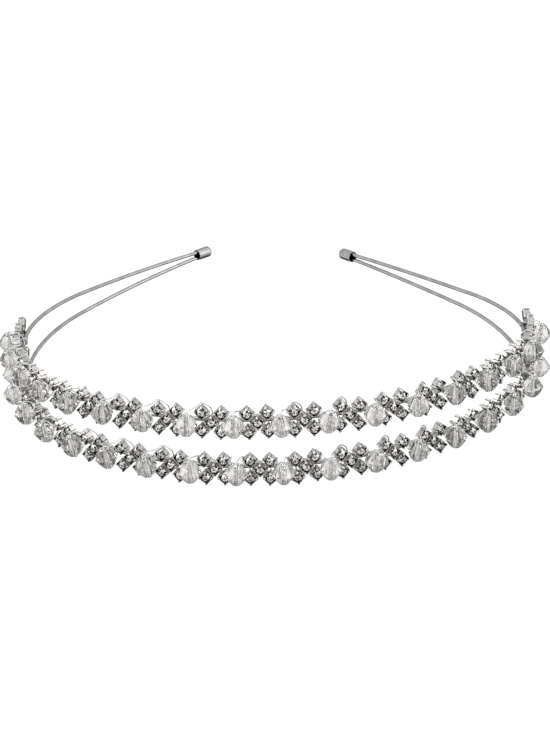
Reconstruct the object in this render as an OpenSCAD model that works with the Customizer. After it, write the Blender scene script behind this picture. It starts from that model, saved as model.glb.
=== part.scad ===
// Rhinestone headband of two sprung wires, lying on its lower row of stones.
// The front of each wire carries five-stone crosses with a drilled crystal bead between
// each two of them, tied on by a fine binding wire. The two wires come together at each
// end in a small metal cap. The front of the band is at -Y and its two ends point to +Y.

/* [Band] */
// Thickness of each of the two band wires
band_wire_d = 1.2; // [1:0.1:1.2]
// Bend radii of the left half, from the middle of the front to the tip
left_radii = [79, 62, 63, 303]; // [30:1:400]
// How far each bend of the left half turns, in degrees
left_turns = [33.8, 56.4, 34.4, 10.8]; // [4:0.1:64]
// Bend radii of the right half, from the middle of the front to the tip
right_radii = [79, 31, 70, 699]; // [30:1:800]
// How far each bend of the right half turns, in degrees
right_turns = [62.1, 35.6, 30.5, 4.7]; // [4:0.1:64]
// Distance between the two wires at the middle of the front
front_gap = 13.3; // [12.5:0.1:16]
// Distance between the two wires where the rows of stones end
row_end_gap = 9.8; // [9.7:0.1:12]
// Distance between the two wires where their last bends begin, on the left and on the right
leg_gaps = [6.3, 5]; // [4:0.1:8]

/* [End caps] */
// Length of an end cap
cap_length = 5.5; // [4:0.5:5.5]
// Outside diameter of an end cap
cap_d = 3.7; // [3.7:0.1:4]
// Thickness of the wall of an end cap
cap_wall = 0.2; // [0.15:0.05:0.2]

/* [Crosses] */
// Crosses along each row
cross_count = 19; // [7:2:19]
// Distance along the wire from one cross to the next
cross_pitch = 11.55; // [11.45:0.05:11.55]
// Extra distance between the last crosses at the left end of each row
left_end_spread = 1; // [0:0.1:1]
// Distance between the middles of two neighbouring cups of a cross
cup_pitch = 3.6; // [3.5:0.1:3.7]
// Side of a square cup
cup_side = 3; // [2.8:0.1:3.1]
// Height of a cup with its claws
cup_height = 2.2; // [2:0.1:2.3]
// Diameter of a stone across its corners
stone_d = 2.4; // [2:0.1:2.4]

/* [Beads] */
// Largest diameter of a bead
bead_d = 6; // [5:0.1:6]
// Height of a bead along its hole
bead_height = 5.6; // [5:0.1:5.8]
// Distance from the band wire to the middle of a bead
bead_out = 4.4; // [4.4:0.1:4.6]
// Thickness of the binding wire
binding_wire_d = 0.36; // [0.3:0.02:0.4]

/* [Hidden] */
$fn = 48;

bead_count = cross_count - 1;
function two_digits(i) = str(i < 9 ? "0" : "", i + 1);
function bead_name(row_name, i) = str(row_name, "_bead_", two_digits(i));

metal = [0.78, 0.79, 0.8];
clear_stone = [0.88, 0.91, 0.95];

// A row is the share of the fan between the two wires: the lower wire, the caps, the upper wire
LOWER = 0;
MIDDLE = 0.5;
UPPER = 1;

// Turn of each cross in its own plane, in degrees, from left to right
lower_cross_turns = [1, -3, 2, 4, -2, 3, 0, -3, 2, -1, 5, 2, -3, 1, 4, -2, 2, -3, 1];
upper_cross_turns = [0, 2, -3, 1, 3, -4, 2, 0, -2, 3, -1, -4, 2, 4, -2, 1, -3, 2, 1];
// Lean of each bead along the band, in degrees, from left to right
lower_bead_leans = [3, -4, -6, -10, -10, -12, -12, -3, 1, 1, 3, 10, 12, 1, 4, 6, -2, 3];
upper_bead_leans = [-3, 2, -4, -2, 1, -1, -3, 2, 0, -2, 13, 5, 3, 2, -1, 3, -2, 4];
// Beads, from left to right, whose binding wire goes over the next cup and not behind it
lower_ties_over = [0, 0, 0, 0, 1, 1, 1, 0, 0, 0, 1, 1, 1, 0, 0, 0, 0, 0];
upper_ties_over = [0, 0, 0, 0, 0, 1, 1, 1, 0, 1, 1, 0, 1, 0, 0, 0, 0, 0];

// Air between the band wire and what is tied on it
seat_gap = 0.06;
seat_out = band_wire_d / 2 + seat_gap;

cup_wall = 0.2;
cup_floor = 0.4;
cup_rim = 1.7;
claw_side = 0.45;
link_width = 1.1;
// Crosses at the left end with extra distance after them
spread_crosses = 3;

stone_sides = 8;
// Heights of a stone's girdle above its point, of its point above the floor of the cup, and of
// the claws above its table
stone_depth = 1.05;
stone_lift = 0.1;
stone_sunk = 0.1;
stone_point_out = seat_out + cup_floor + stone_lift;
stone_girdle_out = stone_point_out + stone_depth;
stone_table_out = seat_out + cup_height - stone_sunk;
stone_table_r = 0.3 * stone_d;

bead_sides = 12;
bead_end_r = 1.2;
bead_belt = 0.5;
bead_hole_r = 0.55;

binding_sides = 5;
binding_r = binding_wire_d / 2;
binding_clear = 0.12;
binding_over_bead = bead_height / 2 + 0.5;
binding_behind = band_wire_d / 2 + binding_r + binding_clear;

joint_swell = 0.02;
joint_length = 0.4;

// Distance from the tip of the band to the cut end of a wire inside its cap
wire_stop = 1;
cap_floor = 0.8;
cap_round = 1;

last_bend = len(left_radii) - 1;
// Distance between the two wires at their cut ends
tip_gap = band_wire_d + 0.14;

function bend_length(radii, turns, i) = radii[i] * turns[i] * PI / 180;
// Length of the bends before bend number i of a half
function length_before(radii, turns, i) =
    i == 0 ? 0 : length_before(radii, turns, i - 1) + bend_length(radii, turns, i - 1);

// Where a half of the band has got to, as [x, y, heading], after a length along its bends
function along_bends(radii, turns, length, i = 0, at = [0, 0, 0]) =
    let (whole = bend_length(radii, turns, i))
    let (stops = length < whole || i == last_bend)
    let (turn = stops ? length / whole * turns[i] : turns[i])
    let (next = [at[0] + radii[i] * (sin(at[2] + turn) - sin(at[2])),
                 at[1] + radii[i] * (cos(at[2]) - cos(at[2] + turn)),
                 at[2] + turn])
    stops ? next
    : along_bends(radii, turns, length - whole, i + 1, next);

// Place on the band as [x, y, heading], by the distance to the right of the middle of the front
function spot(along) =
    along < 0
    ? let (at = along_bends(left_radii, left_turns, -along)) [-at[0], at[1], -at[2]]
    : along_bends(right_radii, right_turns, along);

// A point given as [along, out, up] from a place on the band
function beside(along, point) =
    let (at = spot(along))
    [at[0] + point[0] * cos(at[2]) + point[1] * sin(at[2]),
     at[1] + point[0] * sin(at[2]) - point[1] * cos(at[2]),
     point[2]];

// The planes of the two rows meet in a line behind the tips
row_end = 2;
function depth_of_row(radii, turns) =
    along_bends(radii, turns, length_before(radii, turns, row_end))[1];
row_depth = (depth_of_row(left_radii, left_turns) + depth_of_row(right_radii, right_turns)) / 2;
half_fan = asin((front_gap - row_end_gap) / 2 / row_depth);
meeting_y = front_gap / 2 / sin(half_fan);

// A start is [place, ahead, inward]: where a bend of the lower wire begins and its directions,
// seen from the plane halfway between the two wires
front_start = [[0, meeting_y * (1 - cos(half_fan)), -front_gap / 2],
               [1, 0, 0],
               [0, cos(half_fan), sin(half_fan)]];
function start_after(start, radius, turn) = [
    start[0] + radius * (sin(turn) * start[1] + (1 - cos(turn)) * start[2]),
    cos(turn) * start[1] + sin(turn) * start[2],
    cos(turn) * start[2] - sin(turn) * start[1]
];
function pitched(start, pitch) =
    [start[0], cos(pitch) * start[1] + sin(pitch) * cross(start[1], start[2]), start[2]];
// How far a bend pitches towards the other wire, to end half a gap away from the plane
function pitch_to(start, radius, turn, gap) =
    let (level_end = start[0][2] + radius * (1 - cos(turn)) * start[2][2])
    let (rise = (-gap / 2 - level_end) / (radius * sin(turn)))
    let (ahead_up = start[1][2], square_up = cross(start[1], start[2])[2])
    asin(rise / norm([ahead_up, square_up])) - atan2(ahead_up, square_up);

function stop_turn(radii, turns) = turns[last_bend] - wire_stop / radii[last_bend] * 180 / PI;
function bend_start(radii, turns, leg_gap, i) =
    i == 0 ? front_start
    : let (before = bend_start(radii, turns, leg_gap, i - 1))
      let (pitch = bend_pitch(radii, turns, leg_gap, i - 1))
      start_after(pitched(before, pitch), radii[i - 1], turns[i - 1]);
function bend_pitch(radii, turns, leg_gap, i) =
    let (start = bend_start(radii, turns, leg_gap, i))
    i < row_end ? 0
    : i < last_bend ? pitch_to(start, radii[i], turns[i], leg_gap)
    : pitch_to(start, radii[i], stop_turn(radii, turns), tip_gap);

// Tips of the band as [x, y, heading] on the plane halfway between the two wires
function tip(radii, turns, leg_gap) =
    let (end = bend_start(radii, turns, leg_gap, last_bend + 1))
    [end[0][0], end[0][1], atan2(end[1][1], end[1][0])];
right_tip = tip(right_radii, right_turns, leg_gaps[1]);
left_half_tip = tip(left_radii, left_turns, leg_gaps[0]);
left_tip = [-left_half_tip[0], left_half_tip[1], -left_half_tip[2]];
// How far the round end of a cap reaches behind the tip
function cap_reach(heading) =
    (cap_d / 2 - cap_round) * abs(cos(heading)) + cap_round * (1 - abs(sin(heading)));
tip_depth = max([for (end = [left_tip, right_tip]) end[1] + cap_reach(end[2])]);

function cross_along(i) =
    (i - (cross_count - 1) / 2) * cross_pitch - max(0, spread_crosses - i) * left_end_spread;
function bead_along(i) = (cross_along(i) + cross_along(i + 1)) / 2;
function cross_turn(i, row) = (row == UPPER ? upper_cross_turns : lower_cross_turns)[i];
function bead_lean(i, row) = (row == UPPER ? upper_bead_leans : lower_bead_leans)[i];
function goes_over(i, row) = (row == UPPER ? upper_ties_over : lower_ties_over)[i] == 1;

// Middles of the five cups of a cross, before it is turned corner-up
cups = cup_pitch * [[0, 0], [1, 0], [0, 1], [-1, 0], [0, -1]];
// How far a cross reaches above and below its wire
function cross_reach(turn) =
    cup_pitch * sin(45 + abs(turn)) + cup_side / sqrt(2) * cos(turn);

// The lower crosses stand on the floor, and the origin is under the middle of the whole band
wire_height = max([for (i = [0 : cross_count - 1]) cross_reach(cross_turn(i, LOWER))]);
bead_places = [for (i = [0 : bead_count - 1]) beside(bead_along(i), [0, bead_out, 0])];
bead_xs = [for (place = bead_places) place[0]];
bead_ys = [for (place = bead_places) place[1]];
middle_x = (max(bead_xs) + min(bead_xs)) / 2;
middle_y = (min(bead_ys) - bead_d / 2 + tip_depth) / 2;

module in_row(row) {
    translate([-middle_x, meeting_y - middle_y, wire_height])
        rotate([-2 * half_fan * row, 0, 0])
            translate([0, -meeting_y, 0])
                children();
}

module at_place(at) {
    translate([at[0], at[1], 0])
        rotate([0, 0, at[2]])
            children();
}

module on_band(along, row) {
    in_row(row)
        at_place(spot(along))
            children();
}

// A hair's breadth of extra metal round the place where one bend runs into the next
module bend_joint() {
    rotate([0, 90, 0])
        cylinder(d = band_wire_d + joint_swell, h = joint_length, center = true);
}

module arc(radius, turn) {
    translate([0, radius, 0])
        rotate([0, 0, -90])
            rotate_extrude(angle = turn)
                translate([radius, 0])
                    circle(d = band_wire_d);
}

// One half of a wire from bend number i to its cut end, with side 1 for the lower wire and -1
// for the upper
module bends_from(radii, turns, leg_gap, side, i = 0) {
    bend_joint();
    rotate([0, -side * bend_pitch(radii, turns, leg_gap, i), 0]) {
        arc(radii[i], i == last_bend ? stop_turn(radii, turns) : turns[i]);
        if (i < last_bend)
            translate([radii[i] * sin(turns[i]), radii[i] * (1 - cos(turns[i])), 0])
                rotate([0, 0, turns[i]])
                    bends_from(radii, turns, leg_gap, side, i + 1);
    }
}

module band_wire(row) {
    side = row == LOWER ? 1 : -1;
    color(metal)
        in_row(row) {
            bends_from(right_radii, right_turns, leg_gaps[1], side);
            mirror([1, 0, 0])
                bends_from(left_radii, left_turns, leg_gaps[0], side);
        }
}

// A closed tube that holds both wires, with its round end at the tip of the band
module end_cap(tip, side) {
    outer_r = cap_d / 2;
    color(metal)
        in_row(MIDDLE)
            at_place(tip)
                rotate([0, -90 * side, 0])
                    rotate_extrude()
                        difference() {
                            union() {
                                translate([0, cap_round])
                                    square([outer_r, cap_length - cap_round]);
                                square([outer_r - cap_round, cap_length]);
                                translate([outer_r - cap_round, cap_round])
                                    circle(r = cap_round);
                            }
                            translate([0, cap_floor])
                                square([outer_r - cap_wall, cap_length]);
                            translate([-cap_d, 0])
                                square([cap_d, cap_length]);
                        }
}

module square_at(place, side) {
    translate(place)
        square(side, center = true);
}

// The metal of one cross: five cups on one plate, with a claw at each corner of each cup
module cross_metal() {
    claw_place = (cup_side - claw_side) / 2;
    linear_extrude(cup_floor) {
        for (cup = cups)
            square_at(cup, cup_side);
        square([2 * cup_pitch, link_width], center = true);
        square([link_width, 2 * cup_pitch], center = true);
    }
    linear_extrude(cup_rim)
        for (cup = cups)
            difference() {
                square_at(cup, cup_side);
                square_at(cup, cup_side - 2 * cup_wall);
            }
    linear_extrude(cup_height)
        for (cup = cups)
            for (x = [-claw_place, claw_place])
                for (y = [-claw_place, claw_place])
                    square_at(cup + [x, y], claw_side);
}

module crosses(row) {
    color(metal)
        for (i = [0 : cross_count - 1])
            on_band(cross_along(i), row)
                translate([0, -seat_out, 0])
                    rotate([90, 0, 0])
                        rotate([0, 0, 45 + cross_turn(i, row)])
                            cross_metal();
}

// Points of one cut stone as [along, out, up]: table, girdle, then its point
function stone_points(middle, turn) =
    let (steps = [for (k = [0 : stone_sides - 1]) (k + 0.5) * 360 / stone_sides])
    let (ring = [for (t = steps) [cos(t), sin(t)]])
    let (table = [for (r = ring) middle + stone_table_r * r])
    let (girdle = [for (r = ring) middle + stone_d / 2 * r])
    let (flat = concat(
        [for (p = table) [p[0], p[1], stone_table_out]],
        [for (p = girdle) [p[0], p[1], stone_girdle_out]],
        [[middle[0], middle[1], stone_point_out]]))
    [for (p = flat) [p[0] * cos(turn) - p[1] * sin(turn), p[2], p[0] * sin(turn) + p[1] * cos(turn)]];

stone_point_count = 2 * stone_sides + 1;
stone_faces = concat(
    [[for (k = [stone_sides - 1 : -1 : 0]) k]],
    [for (k = [0 : stone_sides - 1]) let (n = (k + 1) % stone_sides)
        [k, n, stone_sides + n, stone_sides + k]],
    [for (k = [0 : stone_sides - 1]) let (n = (k + 1) % stone_sides)
        [stone_sides + k, stone_sides + n, 2 * stone_sides]]
);

module stones(row) {
    points = [
        for (i = [0 : cross_count - 1])
            for (cup = cups)
                for (p = stone_points(cup, 45 + cross_turn(i, row)))
                    beside(cross_along(i), p)
    ];
    faces = [
        for (stone = [0 : cross_count * len(cups) - 1])
            for (face = stone_faces)
                [for (corner = face) corner + stone * stone_point_count]
    ];
    color(clear_stone)
        in_row(row)
            polyhedron(points, faces);
}

// Faces of a tube of rings: sides between them, and either flat ends or a closed loop
function side_faces(rings, sides, closed) = [
    for (r = [0 : rings - (closed ? 1 : 2)])
        for (k = [0 : sides - 1])
            let (n = (k + 1) % sides, next = (r + 1) % rings)
            [r * sides + k, r * sides + n, next * sides + n, next * sides + k]
];

// A drilled bead of two faceted cones with a narrow belt between them
module bead_body() {
    profile = [
        [bead_hole_r, bead_height / 2],
        [bead_end_r, bead_height / 2],
        [bead_d / 2, bead_belt / 2],
        [bead_d / 2, -bead_belt / 2],
        [bead_end_r, -bead_height / 2],
        [bead_hole_r, -bead_height / 2]
    ];
    points = [
        for (p = profile)
            for (k = [0 : bead_sides - 1])
                [p[0] * cos(k * 360 / bead_sides), p[0] * sin(k * 360 / bead_sides), p[1]]
    ];
    polyhedron(points, side_faces(len(profile), bead_sides, true));
}

module bead(i, row) {
    color(clear_stone)
        on_band(bead_along(i), row)
            translate([0, -bead_out, 0])
                rotate([0, bead_lean(i, row), 0])
                    bead_body();
}

// The binding wire comes along behind the band wire, goes under a bead and up through its hole,
// then over or behind the upper left cup of the next cross to the back. The points are
// [along, out, up], first from the wire beside the bead and then from the middle of the cross.
tie_at_bead = [
    [-1.2, -binding_behind, 0],
    [-0.3, 0.3 - binding_behind, -1.5],
    [0, bead_out - 0.9, -binding_over_bead],
    [0, bead_out - 0.15, 0.17 - binding_over_bead],
    [0, bead_out, 0.7 - binding_over_bead],
    [0, bead_out, binding_over_bead - 0.7],
    [0.1, bead_out - 0.15, binding_over_bead - 0.05],
    [0.5, bead_out - 1.1, binding_over_bead + 0.3]
];
tie_over_cup = [
    [-4.5, 2.3, 3.9],
    [-3.6, 1.7, 4.5],
    [-2.6, 1.2, 5.1],
    [-1.6, 0.6, 4.6],
    [-0.8, 0.1, 3.7],
    [-0.3, -0.3, 2.4],
    [0, 0.2 - binding_behind, 1]
];
tie_behind_cup = [
    [-4.9, 1.8, 3.5],
    [-4.5, 0.4, 2.9],
    [-3.4, -0.2, 2.4],
    [-1.8, -0.4, 1.8],
    [0, 0.2 - binding_behind, 1]
];

// Beside a bead's hole the tie leans with the bead, before it the tie follows the band, and
// after it the tie turns with the cross
function by_bead(i, p, lean) =
    p[1] > bead_out - 1.2
    ? beside(bead_along(i), [p[0] + p[2] * tan(lean), p[1], p[2]])
    : beside(bead_along(i) + p[0], [0, p[1], p[2]]);
function by_cross(i, p, turn) =
    beside(cross_along(i), [p[0] * cos(turn) - p[2] * sin(turn), p[1],
                            p[0] * sin(turn) + p[2] * cos(turn)]);
function tie(i, row) = concat(
    [for (p = tie_at_bead) by_bead(i, p, bead_lean(i, row))],
    [for (p = goes_over(i, row) ? tie_over_cup : tie_behind_cup)
        by_cross(i + 1, p, cross_turn(i + 1, row))]
);
function unit(v) = v / norm(v);
function square_to(v, direction) = unit(v - (v * direction) * direction);

module binding_wire(row) {
    path = concat(
        [beside(cross_along(0), [0, -binding_behind, 0])],
        [for (i = [0 : bead_count - 1]) each tie(i, row)],
        [beside(cross_along(cross_count - 1), [0, -binding_behind, 0])]
    );
    count = len(path);
    directions = [for (i = [0 : count - 1]) unit(path[min(i + 1, count - 1)] - path[max(i - 1, 0)])];
    normals = [
        for (i = 0, n = square_to([0, 0, 1], directions[0]);
             i < count;
             i = i + 1, n = square_to(n, directions[min(i, count - 1)])) n
    ];
    points = [
        for (i = [0 : count - 1])
            let (across = cross(directions[i], normals[i]))
            for (k = [0 : binding_sides - 1])
                path[i] + binding_r * (normals[i] * cos(k * 360 / binding_sides)
                                       + across * sin(k * 360 / binding_sides))
    ];
    ends = [
        [for (k = [binding_sides - 1 : -1 : 0]) k],
        [for (k = [0 : binding_sides - 1]) (count - 1) * binding_sides + k]
    ];
    color(metal)
        in_row(row)
            polyhedron(points, concat(side_faces(count, binding_sides, false), ends));
}

band_wire(LOWER);  // lower_band_wire
band_wire(UPPER);  // upper_band_wire
end_cap(left_tip, -1);  // left_end_cap
end_cap(right_tip, 1);  // right_end_cap
crosses(LOWER);  // lower_crosses
crosses(UPPER);  // upper_crosses
stones(LOWER);  // lower_stones
stones(UPPER);  // upper_stones
binding_wire(LOWER);  // lower_binding_wire
binding_wire(UPPER);  // upper_binding_wire
for (i = [0 : bead_count - 1]) {
    bead(i, LOWER);
    bead(i, UPPER);
}
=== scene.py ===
import math

import bpy
from mathutils import Matrix, Vector


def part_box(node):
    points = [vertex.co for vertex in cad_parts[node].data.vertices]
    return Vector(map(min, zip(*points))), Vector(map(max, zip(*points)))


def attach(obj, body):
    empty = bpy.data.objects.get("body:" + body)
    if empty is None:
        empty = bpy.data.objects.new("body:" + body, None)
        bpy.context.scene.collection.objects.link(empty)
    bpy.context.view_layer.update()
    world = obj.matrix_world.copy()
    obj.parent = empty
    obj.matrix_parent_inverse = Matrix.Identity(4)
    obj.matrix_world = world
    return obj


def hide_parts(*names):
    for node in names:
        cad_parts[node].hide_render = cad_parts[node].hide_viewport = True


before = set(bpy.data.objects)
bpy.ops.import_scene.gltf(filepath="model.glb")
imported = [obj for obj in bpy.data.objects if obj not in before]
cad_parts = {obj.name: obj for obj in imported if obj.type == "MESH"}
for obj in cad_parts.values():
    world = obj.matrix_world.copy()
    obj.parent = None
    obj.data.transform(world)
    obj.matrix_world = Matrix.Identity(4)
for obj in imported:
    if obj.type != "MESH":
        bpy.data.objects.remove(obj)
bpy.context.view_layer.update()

# Sizes in millimetres, as in the part's source
WIRE_D = 1.2
LEFT_RADII, LEFT_TURNS = [79, 62, 63, 303], [33.8, 56.4, 34.4, 10.8]
RIGHT_RADII, RIGHT_TURNS = [79, 31, 70, 699], [62.1, 35.6, 30.5, 4.7]
FRONT_GAP, ROW_END_GAP = 13.3, 9.8
CROSS_COUNT, CROSS_PITCH = 19, 11.55
SPREAD_CROSSES, LEFT_END_SPREAD = 3, 1.0
BEAD_COUNT = CROSS_COUNT - 1
CUP_PITCH, CUP_SIDE, CUP_RIM, CUP_FLOOR = 3.6, 3.0, 1.7, 0.4
CUP_SPOTS = ((0, 0), (CUP_PITCH, 0), (0, CUP_PITCH), (-CUP_PITCH, 0), (0, -CUP_PITCH))
SEAT_OUT = 0.66
BEAD_D, BEAD_HEIGHT, BEAD_OUT = 6.0, 5.6, 4.4
TIE_R, TIE_GAP = 0.16, 0.02
ROWS = {"lower": 0, "upper": 1}
CROSS_TURNS = {
    "lower": [1, -3, 2, 4, -2, 3, 0, -3, 2, -1, 5, 2, -3, 1, 4, -2, 2, -3, 1],
    "upper": [0, 2, -3, 1, 3, -4, 2, 0, -2, 3, -1, -4, 2, 4, -2, 1, -3, 2, 1],
}
BEAD_LEANS = {
    "lower": [3, -4, -6, -10, -10, -12, -12, -3, 1, 1, 3, 10, 12, 1, 4, 6, -2, 3],
    "upper": [-3, 2, -4, -2, 1, -1, -3, 2, 0, -2, 13, 5, 3, 2, -1, 3, -2, 4],
}

# Beads whose binding wire goes over the next cup and not behind it
TIES_OVER = {
    "lower": [0, 0, 0, 0, 1, 1, 1, 0, 0, 0, 1, 1, 1, 0, 0, 0, 0, 0],
    "upper": [0, 0, 0, 0, 0, 1, 1, 1, 0, 1, 1, 0, 1, 0, 0, 0, 0, 0],
}

# The finer forms of the cups: sheet metal with bent claws, and a strip from cup to cup
CUP_TURNS = (4, -3, 2, -4)
STRIP_WIDTH = 1.1
SHEET, WALL_FOOT = 0.2, 0.1
WALL_HEIGHT = CUP_RIM - WALL_FOOT
WALL_WIDTH, WALL_FOOT_SHARE, WALL_TOP_SHARE = 1.4, 0.8, 0.6
BASE_SIDE, BASE_SHARE = CUP_SIDE - 0.1, 0.86
CLAW_ARM, CLAW_CORNER = 0.6, 0.2
CLAW_BENDS = (
    {"rise": 0.22, "inward": 0.02, "share": 0.85},
    {"rise": 0.25, "inward": 0.24, "share": 0.6},
)
# Sizes of the block of painted shade that sits inside each cup
HOLLOW_SIDE, HOLLOW_HEIGHT, HOLLOW_RIM, HOLLOW_DEPTH = CUP_SIDE - 0.42, 1.2, 0.2, 0.65
NEAR = 0.01

# Rings of corners, as number, radius, height and turn, and the painted light and dark of the facets in
# turn, standing for their reflections
GIRDLE, STAR_FOOT = 1.6, 1.8
STONE_RINGS = ((16, 1.3, GIRDLE, 0), (8, 1.04, 1.9, 11.25), (8, 0.74, 2.1, 33.75), (8, 0.3, 0.7, 11.25))
TABLE_PAINTED_LIGHTS = (0.89, 0.0, 0.8, 0.05, 0.89, 0.3, 0.0, 0.89)
SIDE_PAINTED_LIGHTS = (0.89, 0.0, 0.89, 0.05, 0.89, 0.0, 0.3, 0.89)
STONE_TURN, STONE_TILT = 67, 3
HALF_BEAD = BEAD_HEIGHT / 2
BEAD_RINGS = (
    (12, 1.2, HALF_BEAD, 0), (12, 1.75, 2.2, 15), (12, 2.42, 1.25, 15), (12, BEAD_D / 2, 0.2, 15),
    (12, BEAD_D / 2, -0.2, 15), (12, 2.42, -1.25, 15), (12, 1.75, -2.2, 15), (12, 1.2, -HALF_BEAD, 0),
)
# Painted light and dark of the bead's facets, standing for the streaks of reflection in the crystal
BEAD_PAINTED_STREAKS = (0.1, 0.8, 0.4, 0.6, 0.2, 0.9, 0.5)
BEAD_SECTOR, BEAD_STEP = 15, 1.2
HOLE_EDGE, HOLE_REACH = 0.75, 0.7

# The way of the binding wire: each point along the row, out from the band wire, and up
TIE_OUT = WIRE_D / 2 + TIE_R + TIE_GAP
TIE_END = HALF_BEAD + 0.5
COIL_POINTS, COIL_START, COIL_ADVANCE, COIL_TURN = 13, -1.0, 0.06, 60
THROUGH_BEAD = (
    (0, BEAD_OUT - 0.9, -TIE_END), (0, BEAD_OUT - 0.15, 0.17 - TIE_END), (0, BEAD_OUT, 0.7 - TIE_END),
    (0, BEAD_OUT, TIE_END - 0.7), (0.1, BEAD_OUT - 0.15, TIE_END - 0.05),
    (0.5, BEAD_OUT - 1.1, TIE_END + 0.3),
)
OVER_CUP = (
    (-4.6, 2.0, 3.6), (-3.6, 1.5, 4.2), (-2.6, 1.2, 4.95), (-1.6, 0.6, 4.3), (-0.8, 0.1, 3.5),
    (-0.3, -0.3, 2.4), (0, 0.2 - TIE_OUT, 1),
)
BEHIND_CUP = (
    (-4.9, 1.8, 3.5), (-4.5, 0.4, 2.9), (-3.4, -0.2, 2.4), (-1.8, -0.4, 1.8), (0, 0.2 - TIE_OUT, 1),
)
LAST_TIE_OUT = -0.9


def turned(degrees, axis):
    return Matrix.Rotation(math.radians(degrees), 4, axis)


def moved(x, y, z):
    return Matrix.Translation((x, y, z))


# The band's line as x, y and heading, at a distance to the right of the middle of its front
def spot(along):
    side = -1 if along < 0 else 1
    radii, turns = (LEFT_RADII, LEFT_TURNS) if along < 0 else (RIGHT_RADII, RIGHT_TURNS)
    left, x, y, heading = abs(along), 0.0, 0.0, 0.0
    for radius, turn in zip(radii, turns):
        part = min(left / (radius * math.radians(turn)), 1)
        after = heading + math.radians(turn) * part
        x += radius * (math.sin(after) - math.sin(heading))
        y += radius * (math.cos(heading) - math.cos(after))
        heading = after
        left -= radius * math.radians(turn) * part
        if left < 1e-9:
            break
    return side * x, y, side * math.degrees(heading)


# Distances along a row of its crosses and of the beads between them
def cross_along(number):
    spread = max(0, SPREAD_CROSSES - number) * LEFT_END_SPREAD
    return (number - (CROSS_COUNT - 1) / 2) * CROSS_PITCH - spread


def bead_along(number):
    return (cross_along(number) + cross_along(number + 1)) / 2


# How deep a half of the band is where its row ends, after its first two bends
def depth_of_row(side, radii, turns):
    length = sum(radius * math.radians(turn) for radius, turn in zip(radii[:2], turns[:2]))
    return spot(side * length)[1]


# Where the drawing's origin lies in the object, from the middle of the first bead's box
def drawing_place():
    low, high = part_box("lower_bead_01")
    x, y, heading = spot(bead_along(0))
    x += BEAD_OUT * math.sin(math.radians(heading))
    y -= BEAD_OUT * math.cos(math.radians(heading))
    return [500 * (a + b) - c for a, b, c in zip(low, high, (x, y, 0))]


ROW_DEPTH = (depth_of_row(-1, LEFT_RADII, LEFT_TURNS) + depth_of_row(1, RIGHT_RADII, RIGHT_TURNS)) / 2
HALF_FAN = math.asin((FRONT_GAP - ROW_END_GAP) / 2 / ROW_DEPTH)
MEETING_Y = FRONT_GAP / 2 / math.sin(HALF_FAN)
PLACE = drawing_place()


# Where a row's flat drawing lies in the object: the upper row is tipped about the line that
# the planes of the two band wires meet in
def in_row(row):
    return (
        moved(PLACE[0], PLACE[1] + MEETING_Y, PLACE[2])
        @ Matrix.Rotation(-2 * HALF_FAN * ROWS[row], 4, "X")
        @ moved(0, -MEETING_Y, 0)
    )


# The band wire's middle at a distance along its row, turned to the row's heading there
def on_band(row, along):
    x, y, heading = spot(along)
    return in_row(row) @ moved(x, y, 0) @ turned(heading, "Z")


def cross_place(row, number):
    seat = on_band(row, cross_along(number)) @ moved(0, -SEAT_OUT, 0)
    return seat @ turned(90, "X") @ turned(45 + CROSS_TURNS[row][number], "Z")


def bead_place(row, number):
    lean = BEAD_LEANS[row][number]
    return on_band(row, bead_along(number)) @ moved(0, -BEAD_OUT, 0) @ turned(lean, "Y")


# One stone in each cup, each turned on from the last and tilted a little about its widest part
def stone_places(crosses):
    cups = [place @ moved(x, y, 0) for place in crosses for x, y in CUP_SPOTS]
    return [cup @ turned(STONE_TURN * number, "Z") @ moved(0, 0, GIRDLE) @ turned(STONE_TILT, "X")
            @ moved(0, 0, -GIRDLE) for number, cup in enumerate(cups)]


# Camera and light
def add_camera():
    data = bpy.data.cameras.new("photo_camera")
    camera = bpy.data.objects.new("photo_camera", data)
    bpy.context.scene.collection.objects.link(camera)
    camera.location = (0.02362, -0.41516, 0.20181)
    camera.rotation_euler = [math.radians(a) for a in (64.7122, 2.73, 2.196)]
    data.sensor_width = 36
    data.lens = 75.88
    data.shift_x = 0.00873
    data.shift_y = -0.02456
    data.clip_start = 0.01
    data.clip_end = 100
    bpy.context.scene.camera = camera


def add_softbox(name, place, aim, size, power):
    data = bpy.data.lights.new(name, "AREA")
    data.shape = "RECTANGLE"
    data.size, data.size_y = size
    data.energy = power
    light = bpy.data.objects.new(name, data)
    bpy.context.scene.collection.objects.link(light)
    light.location = place
    light.rotation_euler = (Vector(aim) - Vector(place)).to_track_quat("-Z", "Y").to_euler()


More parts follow.
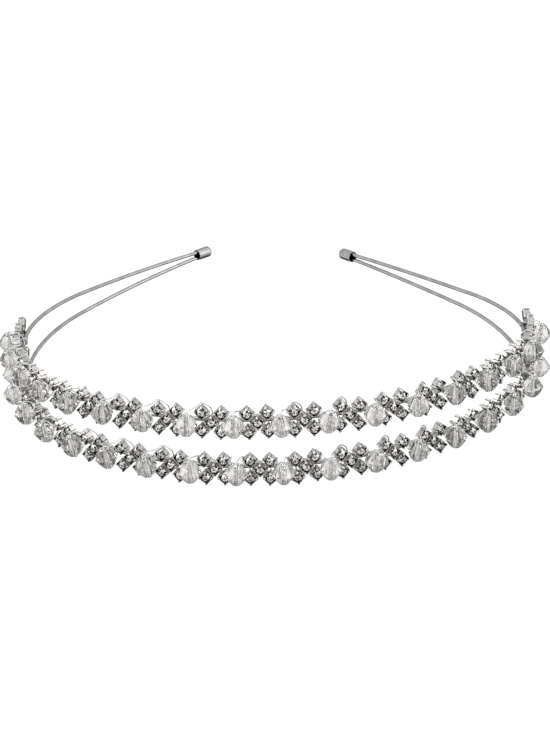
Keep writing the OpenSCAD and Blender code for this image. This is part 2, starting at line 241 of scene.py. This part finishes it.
def light_the_room():
    world = bpy.data.worlds.new("studio")
    world.use_nodes = True
    tree = world.node_tree
    background = tree.nodes["Background"]
    direction = tree.nodes.new("ShaderNodeTexCoord")
    split = tree.nodes.new("ShaderNodeSeparateXYZ")
    ramp = tree.nodes.new("ShaderNodeValToRGB")
    spread = tree.nodes.new("ShaderNodeMapRange")
    spread.inputs["From Min"].default_value = -1.0
    ramp.color_ramp.elements[0].position = 0.16
    ramp.color_ramp.elements[0].color = (0.18, 0.18, 0.18, 1)
    ramp.color_ramp.elements[1].position = 0.28
    ramp.color_ramp.elements[1].color = (0.85, 0.85, 0.85, 1)
    for height, grey in ((0.5, 0.9), (0.6, 0.9), (0.78, 0.7), (1.0, 0.66)):
        step = ramp.color_ramp.elements.new(height)
        step.color = (grey, grey, grey, 1)
    tree.links.new(direction.outputs["Generated"], split.inputs["Vector"])
    tree.links.new(split.outputs["Z"], spread.inputs["Value"])
    tree.links.new(spread.outputs["Result"], ramp.inputs["Fac"])
    tree.links.new(ramp.outputs["Color"], background.inputs["Color"])
    bpy.context.scene.world = world
    add_softbox("overhead_softbox", (0, 0.25, 1.0), (0, 0.05, 0), (1.3, 0.8), 2.6)
    add_softbox("left_softbox", (-0.8, -0.35, 0.55), (0, 0, 0), (0.9, 1.1), 3)
    add_softbox("right_softbox", (0.85, -0.25, 0.5), (0, 0, 0), (0.9, 1.1), 2.6)
    bpy.context.scene.view_settings.view_transform = "Standard"


# Materials
def new_material(name):
    material = bpy.data.materials.new(name)
    material.use_nodes = True
    return material, material.node_tree, material.node_tree.nodes["Principled BSDF"]


def noise_at(tree, scale, detail=2.0):
    place = tree.nodes.new("ShaderNodeTexCoord")
    noise = tree.nodes.new("ShaderNodeTexNoise")
    noise.inputs["Scale"].default_value = scale
    noise.inputs["Detail"].default_value = detail
    tree.links.new(place.outputs["Object"], noise.inputs["Vector"])
    return noise.outputs["Fac"]


def shade_between(tree, factor, dark, light, socket):
    ramp = tree.nodes.new("ShaderNodeValToRGB")
    ramp.color_ramp.elements[0].position = 0.35
    ramp.color_ramp.elements[1].position = 0.65
    ramp.color_ramp.elements[0].color = (*dark, 1)
    ramp.color_ramp.elements[1].color = (*light, 1)
    tree.links.new(factor, ramp.inputs["Fac"])
    tree.links.new(ramp.outputs["Color"], socket)


def number_between(tree, factor, low, high, socket):
    spread = tree.nodes.new("ShaderNodeMapRange")
    spread.inputs["From Min"].default_value = 0.3
    spread.inputs["From Max"].default_value = 0.7
    spread.inputs["To Min"].default_value = low
    spread.inputs["To Max"].default_value = high
    tree.links.new(factor, spread.inputs["Value"])
    tree.links.new(spread.outputs["Result"], socket)


def bumped(tree, shader, factor, depth):
    bump = tree.nodes.new("ShaderNodeBump")
    bump.inputs["Distance"].default_value = depth
    bump.inputs["Strength"].default_value = 0.5
    tree.links.new(factor, bump.inputs["Height"])
    tree.links.new(bump.outputs["Normal"], shader.inputs["Normal"])


def metal(name, dark, light, roughness, grain=900, dents=0.00001):
    material, tree, shader = new_material(name)
    shader.inputs["Metallic"].default_value = 1.0
    shader.inputs["Specular Tint"].default_value = (0.45, 0.45, 0.46, 1)
    shade_between(tree, noise_at(tree, grain), dark, light, shader.inputs["Base Color"])
    number_between(tree, noise_at(tree, grain * 2.5), *roughness, shader.inputs["Roughness"])
    bumped(tree, shader, noise_at(tree, grain * 4), dents)
    return material


# The painted light or dark of a facet, standing for the reflections and shade that a cut facet shows,
# from the facet's own value of painted light, with the walls of a bead's hole left clear
def by_facet(tree, dark, light, socket):
    painted_facet_light = tree.nodes.new("ShaderNodeAttribute")
    painted_facet_light.attribute_name = "painted_facet_light"
    ramp = tree.nodes.new("ShaderNodeValToRGB")
    ramp.color_ramp.elements[0].color = (*dark, 1)
    ramp.color_ramp.elements[1].position = 0.9
    ramp.color_ramp.elements[1].color = (*light, 1)
    clear = ramp.color_ramp.elements.new(1.0)
    clear.color = (1, 1, 1, 1)
    tree.links.new(painted_facet_light.outputs["Fac"], ramp.inputs["Fac"])
    tree.links.new(ramp.outputs["Color"], socket)


def foiled_stone_painted_light():
    material, tree, shader = new_material("foiled_stone_painted_light")
    shader.inputs["Metallic"].default_value = 1.0
    shader.inputs["Coat Weight"].default_value = 0.5
    shader.inputs["Coat Roughness"].default_value = 0.02
    # Facets from black to near white: painted highlights and painted dark reflections, with a back of
    # painted shade
    by_facet(tree, (0.015, 0.015, 0.015), (0.97, 0.95, 0.92), shader.inputs["Base Color"])
    number_between(tree, noise_at(tree, 700), 0.02, 0.1, shader.inputs["Roughness"])
    return material


def clear_crystal():
    material, tree, shader = new_material("clear_crystal")
    shader.inputs["Transmission Weight"].default_value = 1.0
    shader.inputs["IOR"].default_value = 1.33
    shader.inputs["Coat Weight"].default_value = 1.0
    shader.inputs["Coat IOR"].default_value = 1.7
    shader.inputs["Coat Roughness"].default_value = 0.02
    # Grey crystal whose facets are painted lighter and darker: painted streaks of reflection
    by_facet(tree, (0.32, 0.315, 0.305), (0.88, 0.868, 0.85), shader.inputs["Base Color"])
    number_between(tree, noise_at(tree, 400), 0.0, 0.04, shader.inputs["Roughness"])
    return material


def floor_paper():
    material, tree, shader = new_material("pale_floor")
    dark, light = (0.22, 0.22, 0.22), (0.24, 0.24, 0.24)
    shade_between(tree, noise_at(tree, 3), dark, light, shader.inputs["Base Color"])
    shader.inputs["Roughness"].default_value = 0.9
    shader.inputs["Specular IOR Level"].default_value = 0.1
    shader.inputs["Emission Color"].default_value = (1, 1, 1, 1)
    shader.inputs["Emission Strength"].default_value = 0.88
    return material


def dressed(piece, *materials):
    piece.data.materials.clear()
    for material in materials:
        piece.data.materials.append(material)


# Modelling, as by hand
def only(*pieces):
    bpy.ops.object.select_all(action="DESELECT")
    for piece in pieces:
        piece.select_set(True)
    bpy.context.view_layer.objects.active = pieces[0]


def named(name):
    piece = bpy.context.object
    piece.name = name
    piece.data.name = name
    return piece


# Leaves edit mode, clears the choice, picks the faces or edges that fit and goes back in
def pick(piece, kind, wanted):
    bpy.ops.object.mode_set(mode="OBJECT")
    mesh = piece.data
    for parts in (mesh.vertices, mesh.edges, mesh.polygons):
        parts.foreach_set("select", [False] * len(parts))
    if kind == "FACE":
        for face in mesh.polygons:
            face.select = wanted(face.center, face.normal)
    else:
        for edge in mesh.edges:
            edge.select = wanted(*[mesh.vertices[corner].co for corner in edge.vertices])
    bpy.ops.object.mode_set(mode="EDIT")
    bpy.ops.mesh.select_mode(type=kind)


def looks_up(middle, way):
    return way.z > 0.9


def looks_down(middle, way):
    return way.z < -0.9


def join(name, pieces):
    only(*pieces)
    bpy.ops.object.join()
    return named(name)


def copy_at(piece, place):
    twin = piece.copy()
    twin.data = piece.data.copy()
    twin.data.transform(place)
    bpy.context.scene.collection.objects.link(twin)
    return twin


def block(size, middle):
    bpy.ops.object.select_all(action="DESELECT")
    bpy.ops.mesh.primitive_cube_add(size=1, location=middle, scale=size)
    bpy.ops.object.transform_apply(location=True, rotation=True, scale=True)
    return bpy.context.object


# One claw: an angle of thin plate with a rounded corner, that narrows and bends in over the stone
def claw():
    corner, thick = CUP_SIDE / 2, SHEET / 2
    bpy.ops.object.select_all(action="DESELECT")
    bpy.ops.mesh.primitive_plane_add(size=SHEET, location=(corner - thick, corner - thick, WALL_FOOT))
    bpy.ops.object.transform_apply(location=True, rotation=True, scale=True)
    piece = bpy.context.object
    for axis in (0, 1):
        pick(piece, "EDGE", lambda a, b: max(a[axis], b[axis]) < corner - thick
             and min(a[1 - axis], b[1 - axis]) > corner - SHEET - NEAR)
        step = [0.0, 0.0, 0.0]
        step[axis] = SHEET - CLAW_ARM
        bpy.ops.mesh.extrude_region_move(TRANSFORM_OT_translate={"value": step})
    bpy.ops.mesh.select_all(action="SELECT")
    bpy.ops.mesh.extrude_region_move(TRANSFORM_OT_translate={"value": (0, 0, WALL_HEIGHT)})
    bpy.ops.mesh.select_all(action="SELECT")
    bpy.ops.mesh.normals_make_consistent(inside=False)
    pick(piece, "EDGE", lambda a, b: min(a.x, a.y, b.x, b.y) > corner - NEAR)
    bpy.ops.mesh.bevel(offset=CLAW_CORNER, segments=2)
    pick(piece, "FACE", looks_up)
    for bend in CLAW_BENDS:
        step = (-bend["inward"], -bend["inward"], bend["rise"])
        bpy.ops.mesh.extrude_region_move(TRANSFORM_OT_translate={"value": step})
        bpy.ops.transform.resize(value=(bend["share"], bend["share"], 1))
    bpy.ops.mesh.select_all(action="SELECT")
    bpy.ops.mesh.normals_make_consistent(inside=False)
    bpy.ops.mesh.dissolve_limited(angle_limit=math.radians(0.5))
    bpy.ops.object.mode_set(mode="OBJECT")
    return piece


# One wall between two claws, a little narrower at its foot and thinner at its rim
def cup_wall():
    middle = (0, (CUP_SIDE - SHEET) / 2, (CUP_RIM + WALL_FOOT) / 2)
    piece = block((WALL_WIDTH, SHEET, WALL_HEIGHT), middle)
    pick(piece, "FACE", looks_down)
    bpy.ops.transform.resize(value=(WALL_FOOT_SHARE, 1, 1))
    pick(piece, "FACE", looks_up)
    bpy.ops.transform.resize(value=(1, WALL_TOP_SHARE, 1))
    bpy.ops.object.mode_set(mode="OBJECT")
    return piece


# A block of painted shade inside a cup, standing for the shade in its hollow: a thin rim and a sunken
# middle, open below
def painted_shade_in_cup():
    piece = block((HOLLOW_SIDE, HOLLOW_SIDE, HOLLOW_HEIGHT), (0, 0, CUP_FLOOR + HOLLOW_HEIGHT / 2))
    pick(piece, "FACE", looks_up)
    bpy.ops.mesh.inset(thickness=HOLLOW_RIM)
    bpy.ops.transform.translate(value=(0, 0, -HOLLOW_DEPTH))
    pick(piece, "FACE", looks_down)
    bpy.ops.mesh.delete(type="FACE")
    bpy.ops.object.mode_set(mode="OBJECT")
    return piece


# One cup: a square plate with tapered edges, four walls and four claws round a block of painted shade
def cup():
    base = block((BASE_SIDE, BASE_SIDE, CUP_FLOOR), (0, 0, CUP_FLOOR / 2))
    pick(base, "FACE", looks_down)
    bpy.ops.transform.resize(value=(BASE_SHARE, BASE_SHARE, 1))
    bpy.ops.object.mode_set(mode="OBJECT")
    shade_piece = painted_shade_in_cup()
    sides = [claw(), cup_wall()]
    sides += [copy_at(side, turned(quarter, "Z")) for side in sides for quarter in (90, 180, 270)]
    for part in (base, *sides):
        dressed(part, SILVER_CUP)
    dressed(shade_piece, CUP_PAINTED_SHADE)
    return join("cup", [base, shade_piece, *sides])


# Five cups on a cross of two flat strips, the outer ones a little out of true
def cross_of_cups():
    first = cup()
    arms = [copy_at(first, moved(x, y, 0) @ turned(turn, "Z"))
            for (x, y), turn in zip(CUP_SPOTS[1:], CUP_TURNS)]
    strips = [block((long, wide, CUP_FLOOR), (0, 0, CUP_FLOOR / 2))
              for long, wide in ((2 * CUP_PITCH, STRIP_WIDTH), (STRIP_WIDTH, 2 * CUP_PITCH))]
    for strip in strips:
        dressed(strip, SILVER_CUP)
    return join("cross_of_cups", [first, *arms, *strips])


# Rings of corners with a skin of flat facets drawn over them
def faceted(name, rings):
    circles = []
    for corners, radius, height, turn in rings:
        bpy.ops.object.select_all(action="DESELECT")
        bpy.ops.mesh.primitive_circle_add(vertices=corners, radius=radius, location=(0, 0, height),
                                          rotation=(0, 0, math.radians(turn)))
        bpy.ops.object.transform_apply(location=True, rotation=True, scale=True)
        circles.append(bpy.context.object)
    piece = join(name, circles)
    bpy.ops.object.mode_set(mode="EDIT")
    bpy.ops.mesh.select_all(action="SELECT")
    bpy.ops.mesh.convex_hull(face_threshold=math.radians(1), shape_threshold=math.radians(1))
    bpy.ops.mesh.normals_make_consistent(inside=False)
    return piece


# A cut stone: table, stars, kites and a foiled back painted dark as shade, the table opened into wedges
# so that each part of it has its own painted light or dark, standing for its reflections
def cut_stone():
    piece = faceted("cut_stone", STONE_RINGS)
    pick(piece, "FACE", lambda middle, way: way.z > 1 - NEAR)
    bpy.ops.mesh.poke()
    bpy.ops.object.mode_set(mode="OBJECT")
    painted_facet_light = piece.data.attributes.new("painted_facet_light", "FLOAT", "FACE")
    for number, face in enumerate(piece.data.polygons):
        angle = math.degrees(math.atan2(face.center.y, face.center.x)) % 360
        # The back of the stone is painted black: painted shade
        if face.normal.z < 0:
            light = 0.0
        elif face.normal.z > 1 - NEAR:
            light = TABLE_PAINTED_LIGHTS[int(angle // 45) % len(TABLE_PAINTED_LIGHTS)]
        else:
            step = int(angle // 22.5) * 3 + int(face.center.z > STAR_FOOT) * 2
            light = SIDE_PAINTED_LIGHTS[step % len(SIDE_PAINTED_LIGHTS)]
        painted_facet_light.data[number].value = light
    dressed(piece, FOILED_STONE_PAINTED_LIGHT)
    return piece


# A crystal bead: long facets from end to end, small ones round the ends, and a drilled hole
def crystal_bead():
    piece = faceted("crystal_bead", BEAD_RINGS)
    pick(piece, "FACE", lambda middle, way: abs(way.z) > 1 - NEAR)
    bpy.ops.mesh.inset(thickness=HOLE_EDGE)
    bpy.ops.mesh.bridge_edge_loops()
    bpy.ops.object.mode_set(mode="OBJECT")
    painted_facet_light = piece.data.attributes.new("painted_facet_light", "FLOAT", "FACE")
    for number, face in enumerate(piece.data.polygons):
        sector = int(math.degrees(math.atan2(face.center.y, face.center.x)) // BEAD_SECTOR) % 24
        step = int((face.center.z + HALF_BEAD) // BEAD_STEP)
        in_hole = math.hypot(face.center.x, face.center.y) < HOLE_REACH
        light = BEAD_PAINTED_STREAKS[(sector * 3 + step * 2) % len(BEAD_PAINTED_STREAKS)]
        painted_facet_light.data[number].value = 1.0 if in_hole else light
    dressed(piece, CLEAR_CRYSTAL)
    return piece


# Copies of one piece at all its places in a row, joined and brought from millimetres to metres
def row_of(name, pattern, places, node):
    copies = [copy_at(pattern, place) for place in places]
    piece = join(name, copies)
    piece.data.transform(Matrix.Scale(0.001, 4))
    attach(piece, "root")
    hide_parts(node)
    return piece


# The fine binding wire beside one bead: two turns round the band wire, up through the bead, then
# over or behind the upper left cup of the next cross
def tie_points(row, number):
    lean = math.tan(math.radians(BEAD_LEANS[row][number]))
    past_cup = OVER_CUP if TIES_OVER[row][number] else BEHIND_CUP
    from_bead = on_band(row, bead_along(number))
    from_cross = on_band(row, cross_along(number + 1)) @ turned(-CROSS_TURNS[row][number + 1], "Y")
    points = []
    for step in range(COIL_POINTS):
        angle = math.radians(COIL_TURN * step)
        on_wire = on_band(row, bead_along(number) + COIL_START + COIL_ADVANCE * step)
        points.append(on_wire @ Vector((0, TIE_OUT * math.cos(angle), -TIE_OUT * math.sin(angle))))
    points += [from_bead @ Vector((along + up * lean, -out, up)) for along, out, up in THROUGH_BEAD]
    points += [from_cross @ Vector((along, -out, up)) for along, out, up in past_cup]
    return points


def binding_wire(row):
    points = [p for number in range(BEAD_COUNT) for p in tie_points(row, number)]
    points.append(on_band(row, cross_along(CROSS_COUNT - 1)) @ Vector((0, -LAST_TIE_OUT, 0)))
    data = bpy.data.curves.new(row + "_binding_wire_line", "CURVE")
    data.dimensions = "3D"
    line = data.splines.new("BEZIER")
    line.bezier_points.add(len(points) - 1)
    for point, place in zip(line.bezier_points, points):
        point.co = place * 0.001
        point.handle_left_type = point.handle_right_type = "AUTO"
    line.resolution_u = 3
    data.bevel_depth = TIE_R * 0.001
    data.bevel_resolution = 1
    data.use_fill_caps = True
    wire = bpy.data.objects.new(row + "_binding_line", data)
    bpy.context.scene.collection.objects.link(wire)
    only(wire)
    bpy.ops.object.convert(target="MESH")
    bpy.ops.object.shade_smooth()
    piece = named(row + "_fine_wire")
    dressed(piece, BINDING_WIRE)
    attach(piece, "root")
    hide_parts(row + "_binding_wire")


def lay_floor():
    bpy.ops.object.select_all(action="DESELECT")
    bpy.ops.mesh.primitive_plane_add(size=60, location=(0, 0, -0.00002))
    bpy.ops.object.transform_apply(location=True, rotation=True, scale=True)
    floor = named("floor")
    floor.visible_glossy = False
    dressed(floor, floor_paper())


add_camera()
light_the_room()
SILVER_WIRE = metal("silver_wire", (0.44, 0.44, 0.44), (0.56, 0.56, 0.56), (0.08, 0.16), 300, 0.000002)
SILVER_CUP = metal("silver_cup", (0.58, 0.568, 0.55), (0.8, 0.783, 0.757), (0.14, 0.26))
# A darker copy of the cup's silver: painted shade for the inside of the cups
CUP_PAINTED_SHADE = metal("cup_inside_painted_shade", (0.16, 0.16, 0.16), (0.42, 0.416, 0.41), (0.3, 0.45))
BINDING_WIRE = metal("fine_wire", (0.7, 0.7, 0.7), (0.84, 0.84, 0.84), (0.2, 0.35))
FOILED_STONE_PAINTED_LIGHT = foiled_stone_painted_light()
CLEAR_CRYSTAL = clear_crystal()

lay_floor()
for node in ("lower_band_wire", "upper_band_wire", "left_end_cap", "right_end_cap"):
    dressed(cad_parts[node], SILVER_WIRE)

cross = cross_of_cups()
stone = cut_stone()
bead = crystal_bead()
for row in ROWS:
    crosses = [cross_place(row, number) for number in range(CROSS_COUNT)]
    metalwork = row_of(row + "_claw_cups", cross, crosses, row + "_crosses")
    stones = row_of(row + "_cut_stones", stone, stone_places(crosses), row + "_stones")
    for number in range(BEAD_COUNT):
        node = "%s_bead_%02d" % (row, number + 1)
        crystal = row_of(node + "_crystal", bead, [bead_place(row, number)], node)
    binding_wire(row)
for pattern in (cross, stone, bead):
    bpy.data.objects.remove(pattern)
